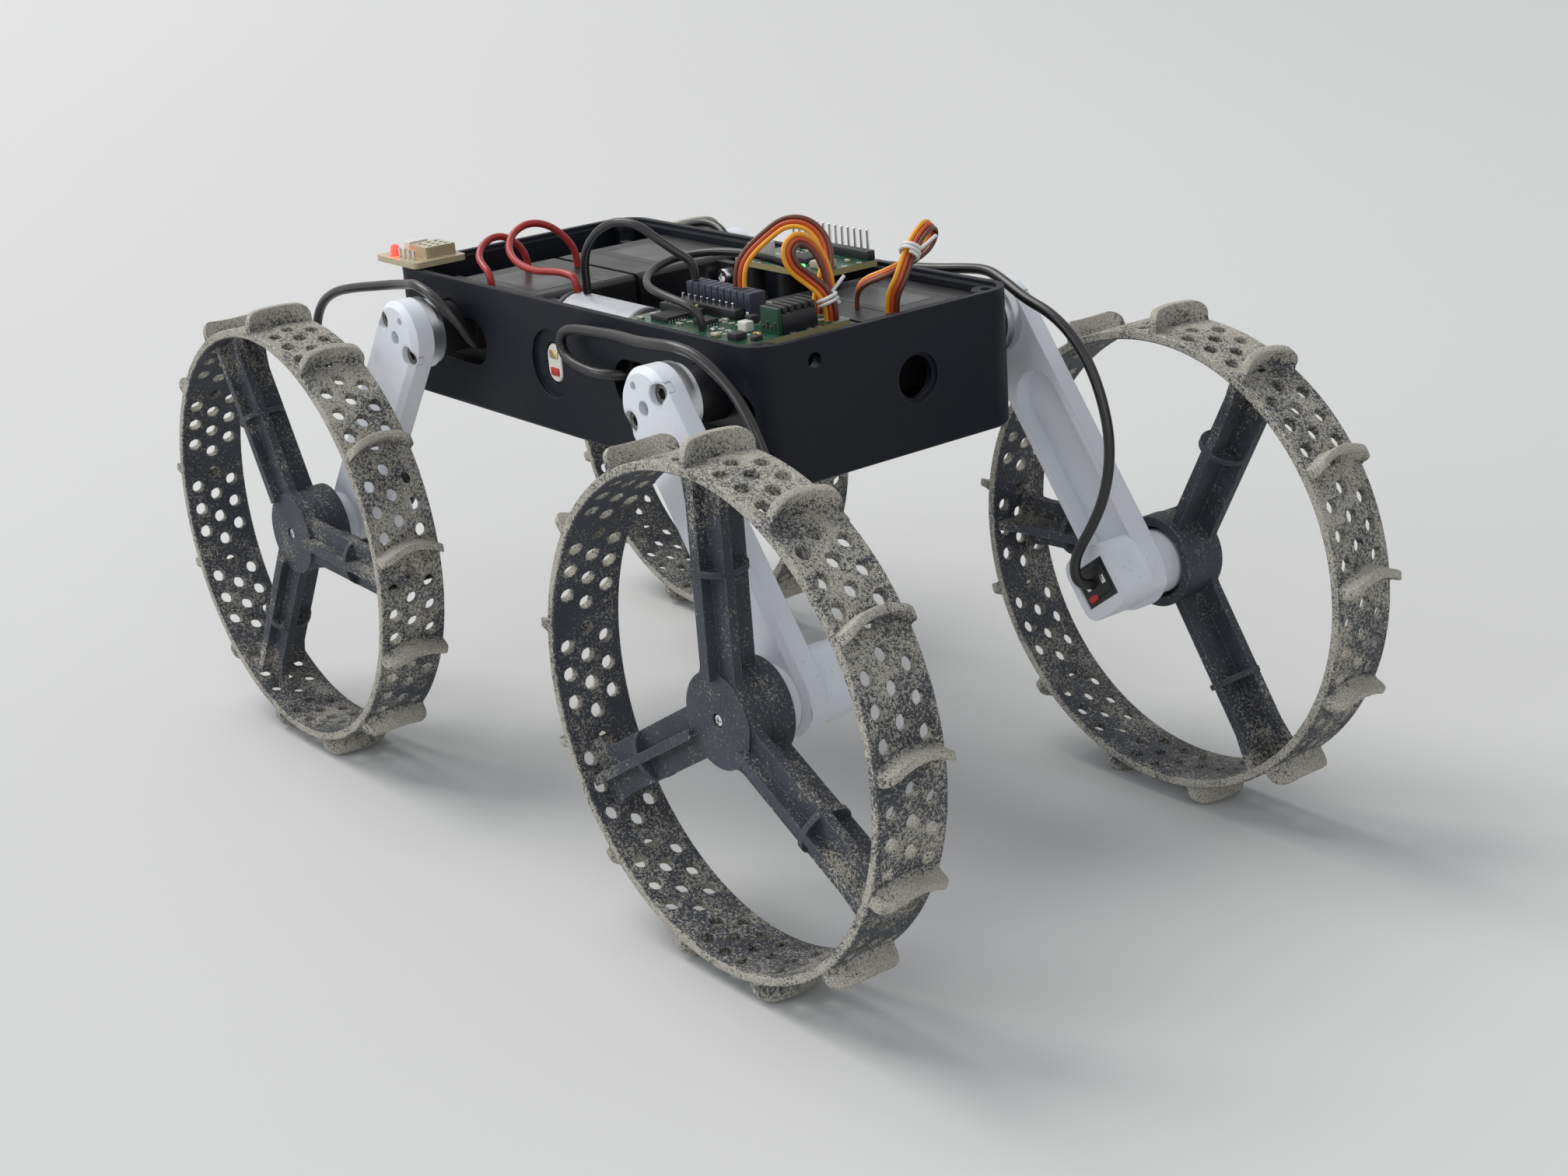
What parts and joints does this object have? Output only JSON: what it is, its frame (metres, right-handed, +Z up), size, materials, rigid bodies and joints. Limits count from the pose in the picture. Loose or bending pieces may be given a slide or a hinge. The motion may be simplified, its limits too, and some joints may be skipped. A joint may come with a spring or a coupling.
{
  "type": "planetary rover prototype",
  "caption": "Small rover prototype: open electronics tray on swinging servo legs, each with a perforated, lugged wheel.",
  "frame": {"origin": "on the floor under the middle of the four leg pivots", "axes": "+X forward, to the end with the large round port; +Y to the rover's left; +Z up"},
  "size_m": [0.3315, 0.1624, 0.1581],
  "materials": {
    "tray_black": "satin",
    "leg_white": "satin",
    "wheel_grey": "matt, dusty",
    "servo_black": "satin",
    "horn_metal": "bright turned",
    "screw_black": "black oxide",
    "motor_black": "satin",
    "shaft_steel": "bright",
    "board_green": "gloss",
    "connector_black": "matt",
    "cell_silver": "foil sleeve",
    "board_beige": "matt",
    "plug_white": "satin",
    "lead_yellow": "satin",
    "lead_black": "satin",
    "lead_red": "satin"
  },
  "bodies": {
    "chassis": {"tray": "tray_black", "main_board": "board_green", "connector_row": "connector_black", "driver_module": "connector_black", "controller_board": "board_green", "board_posts": "connector_black", "battery_cell": "cell_silver", "indicator_board": "board_beige", "slot_plug": "plug_white", "servo_lead_a": "lead_yellow", "servo_lead_b": "lead_yellow", "servo_lead_c": "lead_yellow", "black_lead_arch": "lead_black", "black_lead_loop": "lead_black", "red_lead_long": "lead_red", "red_lead_short": "lead_red", "servo_fl": "servo_black", "servo_fr": "servo_black", "servo_rl": "servo_black", "servo_rr": "servo_black", "cable_root_fl": "lead_black", "cable_root_fr": "lead_black", "cable_root_rl": "lead_black", "cable_root_rr": "lead_black"},
    "leg_front_left": {"leg_fl": "leg_white", "horn_fl": "horn_metal", "horn_screws_fl": "screw_black", "wheel_motor_fl": "motor_black", "cable_fl": "lead_black"},
    "wheel_front_left": {"wheel_fl": "wheel_grey", "wheel_shaft_fl": "shaft_steel"},
    "leg_front_right": {"leg_fr": "leg_white", "horn_fr": "horn_metal", "horn_screws_fr": "screw_black", "wheel_motor_fr": "motor_black", "cable_fr": "lead_black"},
    "wheel_front_right": {"wheel_fr": "wheel_grey", "wheel_shaft_fr": "shaft_steel"},
    "leg_rear_left": {"leg_rl": "leg_white", "horn_rl": "horn_metal", "horn_screws_rl": "screw_black", "wheel_motor_rl": "motor_black", "cable_rl": "lead_black"},
    "wheel_rear_left": {"wheel_rl": "wheel_grey", "wheel_shaft_rl": "shaft_steel"},
    "leg_rear_right": {"leg_rr": "leg_white", "horn_rr": "horn_metal", "horn_screws_rr": "screw_black", "wheel_motor_rr": "motor_black", "cable_rr": "lead_black"},
    "wheel_rear_right": {"wheel_rr": "wheel_grey", "wheel_shaft_rr": "shaft_steel"}
  },
  "joints": [
    {"name": "swing_front_left", "type": "hinge", "parent": "chassis", "child": "leg_front_left", "pos_m": [0.0574, 0.05, 0.12374], "axis": [0, -1, 0], "range_deg": [-27, 54]},
    {"name": "spin_front_left", "type": "hinge", "parent": "leg_front_left", "child": "wheel_front_left", "pos_m": [0.10096, 0.0716, 0.0638], "axis": [0, 1, 0], "continuous": true},
    {"name": "swing_front_right", "type": "hinge", "parent": "chassis", "child": "leg_front_right", "pos_m": [0.0574, -0.05, 0.12374], "axis": [0, -1, 0], "range_deg": [-27, 54]},
    {"name": "spin_front_right", "type": "hinge", "parent": "leg_front_right", "child": "wheel_front_right", "pos_m": [0.10096, -0.0716, 0.0638], "axis": [0, 1, 0], "continuous": true},
    {"name": "swing_rear_left", "type": "hinge", "parent": "chassis", "child": "leg_rear_left", "pos_m": [-0.0574, 0.05, 0.12374], "axis": [0, 1, 0], "range_deg": [-27, 54]},
    {"name": "spin_rear_left", "type": "hinge", "parent": "leg_rear_left", "child": "wheel_rear_left", "pos_m": [-0.10096, 0.0716, 0.0638], "axis": [0, 1, 0], "continuous": true},
    {"name": "swing_rear_right", "type": "hinge", "parent": "chassis", "child": "leg_rear_right", "pos_m": [-0.0574, -0.05, 0.12374], "axis": [0, 1, 0], "range_deg": [-27, 54]},
    {"name": "spin_rear_right", "type": "hinge", "parent": "leg_rear_right", "child": "wheel_rear_right", "pos_m": [-0.10096, -0.0716, 0.0638], "axis": [0, 1, 0], "continuous": true}
  ]
}
